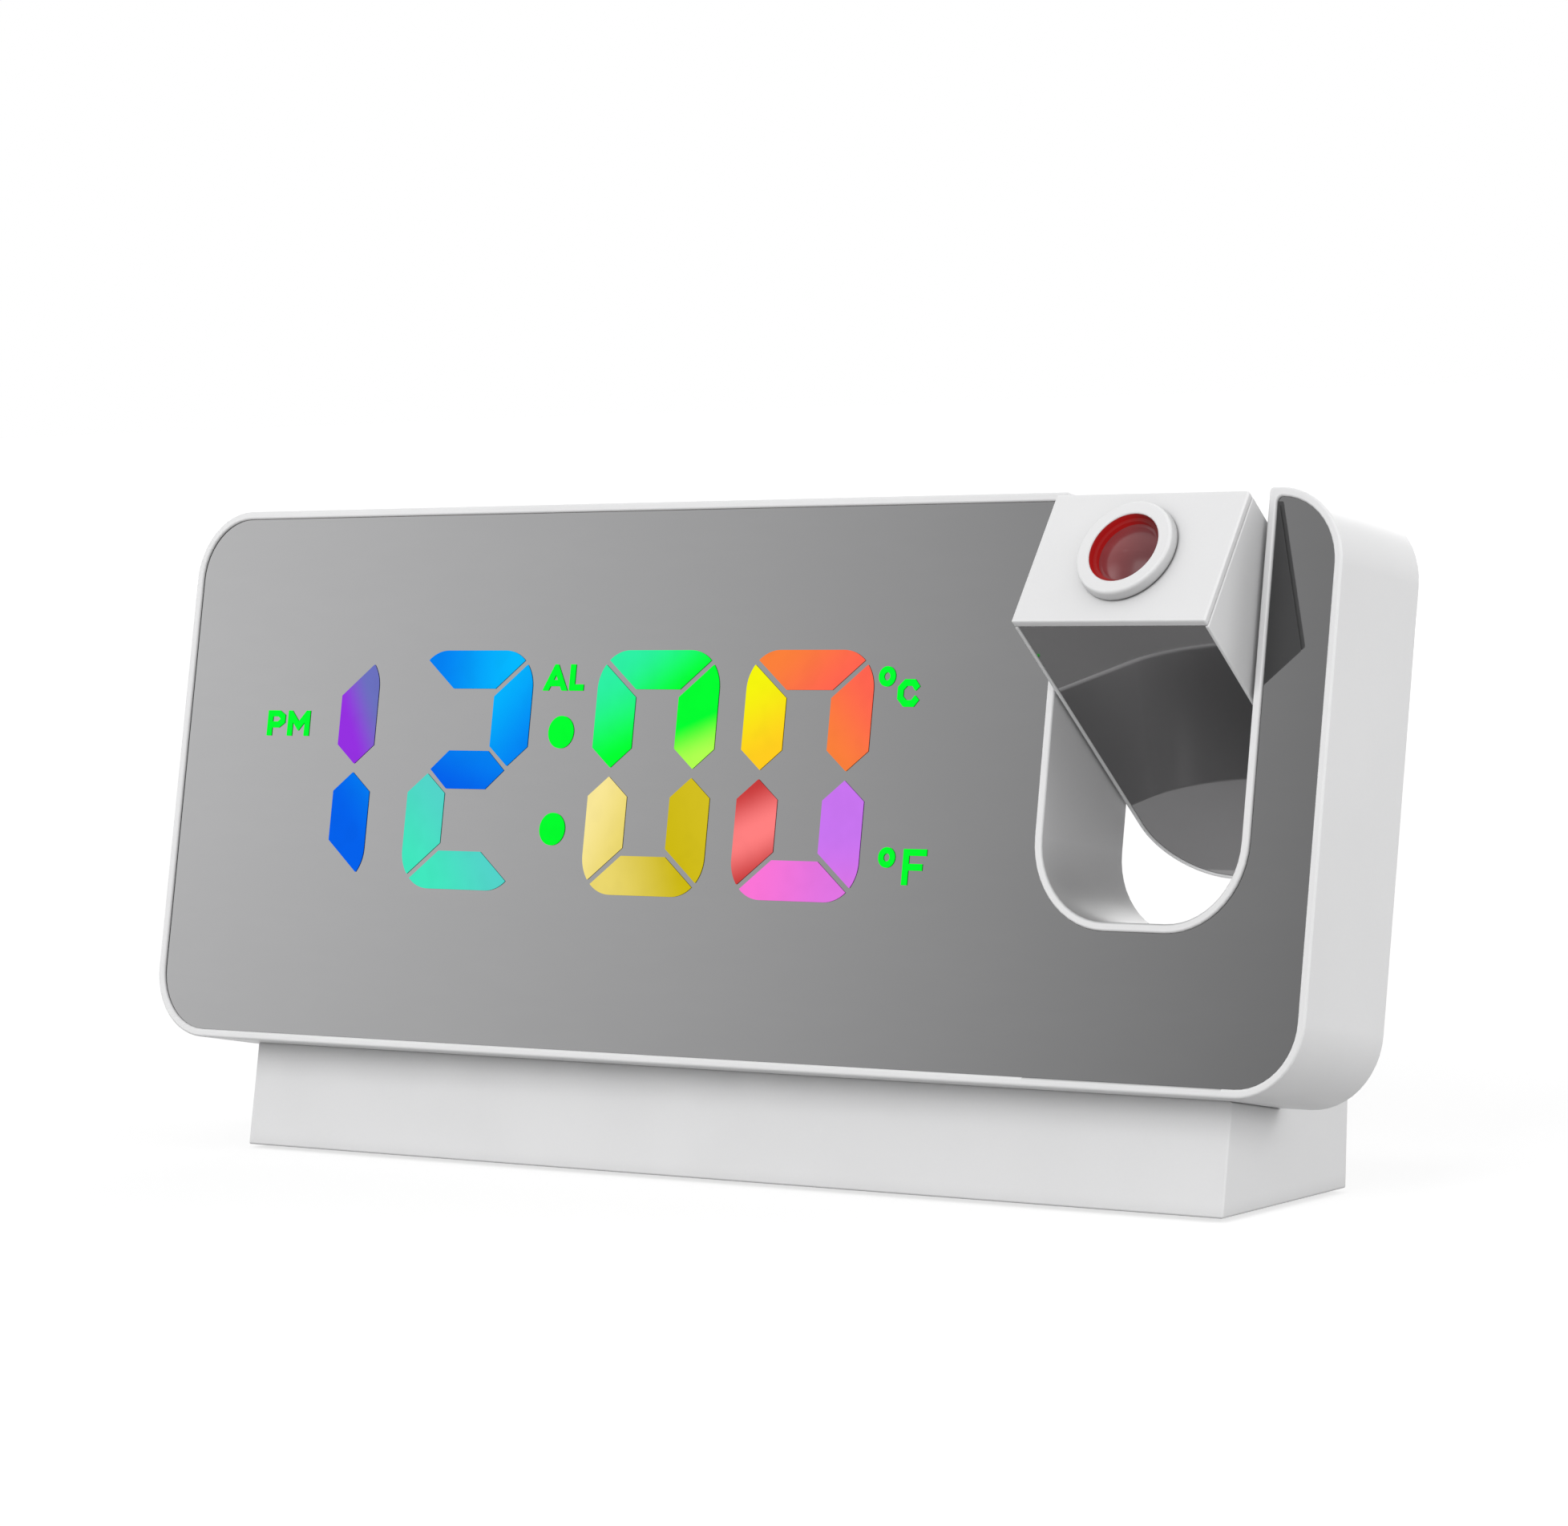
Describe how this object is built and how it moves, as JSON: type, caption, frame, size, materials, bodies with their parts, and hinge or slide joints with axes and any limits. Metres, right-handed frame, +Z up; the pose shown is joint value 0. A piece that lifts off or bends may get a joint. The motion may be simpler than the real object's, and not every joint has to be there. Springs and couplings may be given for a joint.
{
  "type": "projection alarm clock",
  "caption": "Mirror-faced digital alarm clock leaning back on a block stand, with a tilting projector head hung in a U-shaped slot at its right end.",
  "frame": {"origin": "centre of the clock's bounding box in X and Y, on the plane its feet stand on", "axes": "+X along the face to the right of someone reading it, +Y away from that reader, +Z up"},
  "size_m": [0.185, 0.0436, 0.0852],
  "materials": {
    "shell_white": "satin",
    "mirror_film": "polished",
    "hours_light": "lit from behind",
    "minutes_light": "lit from behind",
    "green_light": "lit from behind",
    "opal_plastic": "matte",
    "circuit_board": "matte",
    "black_plastic": "matte",
    "key_plastic": "satin",
    "steel": "satin",
    "rubber": "matte",
    "cell_sleeve": "satin",
    "red_glass": "polished",
    "clear_glass": "polished",
    "red_lamp": "glossy"
  },
  "bodies": {
    "clock": {"housing": "shell_white", "mirror_panel": "mirror_film", "rear_cover": "shell_white", "cover_screws": "steel", "hour_windows": "hours_light", "minute_windows": "minutes_light", "colon_windows": "green_light", "indicator_windows": "green_light", "light_diffuser": "opal_plastic", "reflector_block": "opal_plastic", "display_board": "circuit_board", "segment_leds": "opal_plastic", "main_board": "circuit_board", "board_header": "black_plastic", "board_screws": "steel", "controller_chip": "black_plastic", "tact_switches": "black_plastic", "alarm_buzzer": "black_plastic", "temperature_sensor": "black_plastic", "dc_jack": "black_plastic", "pivot_bushes": "black_plastic", "stand_shell": "shell_white", "stand_base": "opal_plastic", "stand_screws": "steel", "base_screws": "steel", "rubber_feet": "rubber", "battery_cells": "cell_sleeve", "battery_contacts": "steel"},
    "projector_head": {"head_shell": "shell_white", "head_cap": "shell_white", "head_mirror": "mirror_film", "head_screws": "steel", "pivot_pins": "steel", "pivot_clips": "steel", "friction_washers": "black_plastic", "optics_tube": "black_plastic", "projector_lcd": "clear_glass", "condenser_lens": "clear_glass", "projector_board": "circuit_board", "projector_led": "red_lamp", "projector_lead": "rubber"},
    "focus": {"focus_ring": "shell_white", "focus_clip": "steel"},
    "lens": {"lens_cell": "black_plastic", "projection_lens": "red_glass"},
    "door": {"battery_door": "shell_white"},
    "mode_key": {"mode_button": "key_plastic"},
    "alarm_key": {"alarm_button": "key_plastic"},
    "down_key": {"down_button": "key_plastic"},
    "up_key": {"up_button": "key_plastic"},
    "projector_key": {"projector_button": "key_plastic"}
  },
  "joints": [
    {"name": "head_tilt", "type": "hinge", "parent": "clock", "child": "projector_head", "pos_m": [0.06745, -0.00038, 0.06458], "axis": [1, 0, 0], "range_deg": [-145, 35]},
    {"name": "focus_turn", "type": "hinge", "parent": "projector_head", "child": "focus", "pos_m": [0.06745, -0.01574, 0.07795], "axis": [0, -0.8192, 0.5736], "range_deg": [-60, 60]},
    {"name": "lens_travel", "type": "slide", "parent": "projector_head", "child": "lens", "axis": [0, -0.8192, 0.5736], "range_m": [-0.0006, 0.0006]},
    {"name": "door_hinge", "type": "hinge", "parent": "clock", "child": "door", "pos_m": [0, 0.008, 0.00366], "axis": [-1, 0, 0], "range_deg": [0, 75]},
    {"name": "mode_press", "type": "slide", "parent": "clock", "child": "mode_key", "axis": [0, -0.9792, 0.2028], "range_m": [0, 0.0008], "stiffness_N_per_m": 400, "springref_m": -0.0005},
    {"name": "alarm_press", "type": "slide", "parent": "clock", "child": "alarm_key", "axis": [0, -0.9792, 0.2028], "range_m": [0, 0.0008], "stiffness_N_per_m": 400, "springref_m": -0.0005},
    {"name": "down_press", "type": "slide", "parent": "clock", "child": "down_key", "axis": [0, -0.9792, 0.2028], "range_m": [0, 0.0008], "stiffness_N_per_m": 400, "springref_m": -0.0005},
    {"name": "up_press", "type": "slide", "parent": "clock", "child": "up_key", "axis": [0, -0.9792, 0.2028], "range_m": [0, 0.0008], "stiffness_N_per_m": 400, "springref_m": -0.0005},
    {"name": "projector_press", "type": "slide", "parent": "clock", "child": "projector_key", "axis": [0, -0.9792, 0.2028], "range_m": [0, 0.0008], "stiffness_N_per_m": 400, "springref_m": -0.0005}
  ],
  "couplings": [
    {"joint": "focus_turn", "follows": "lens_travel", "rad_per_m": 1745.3}
  ]
}
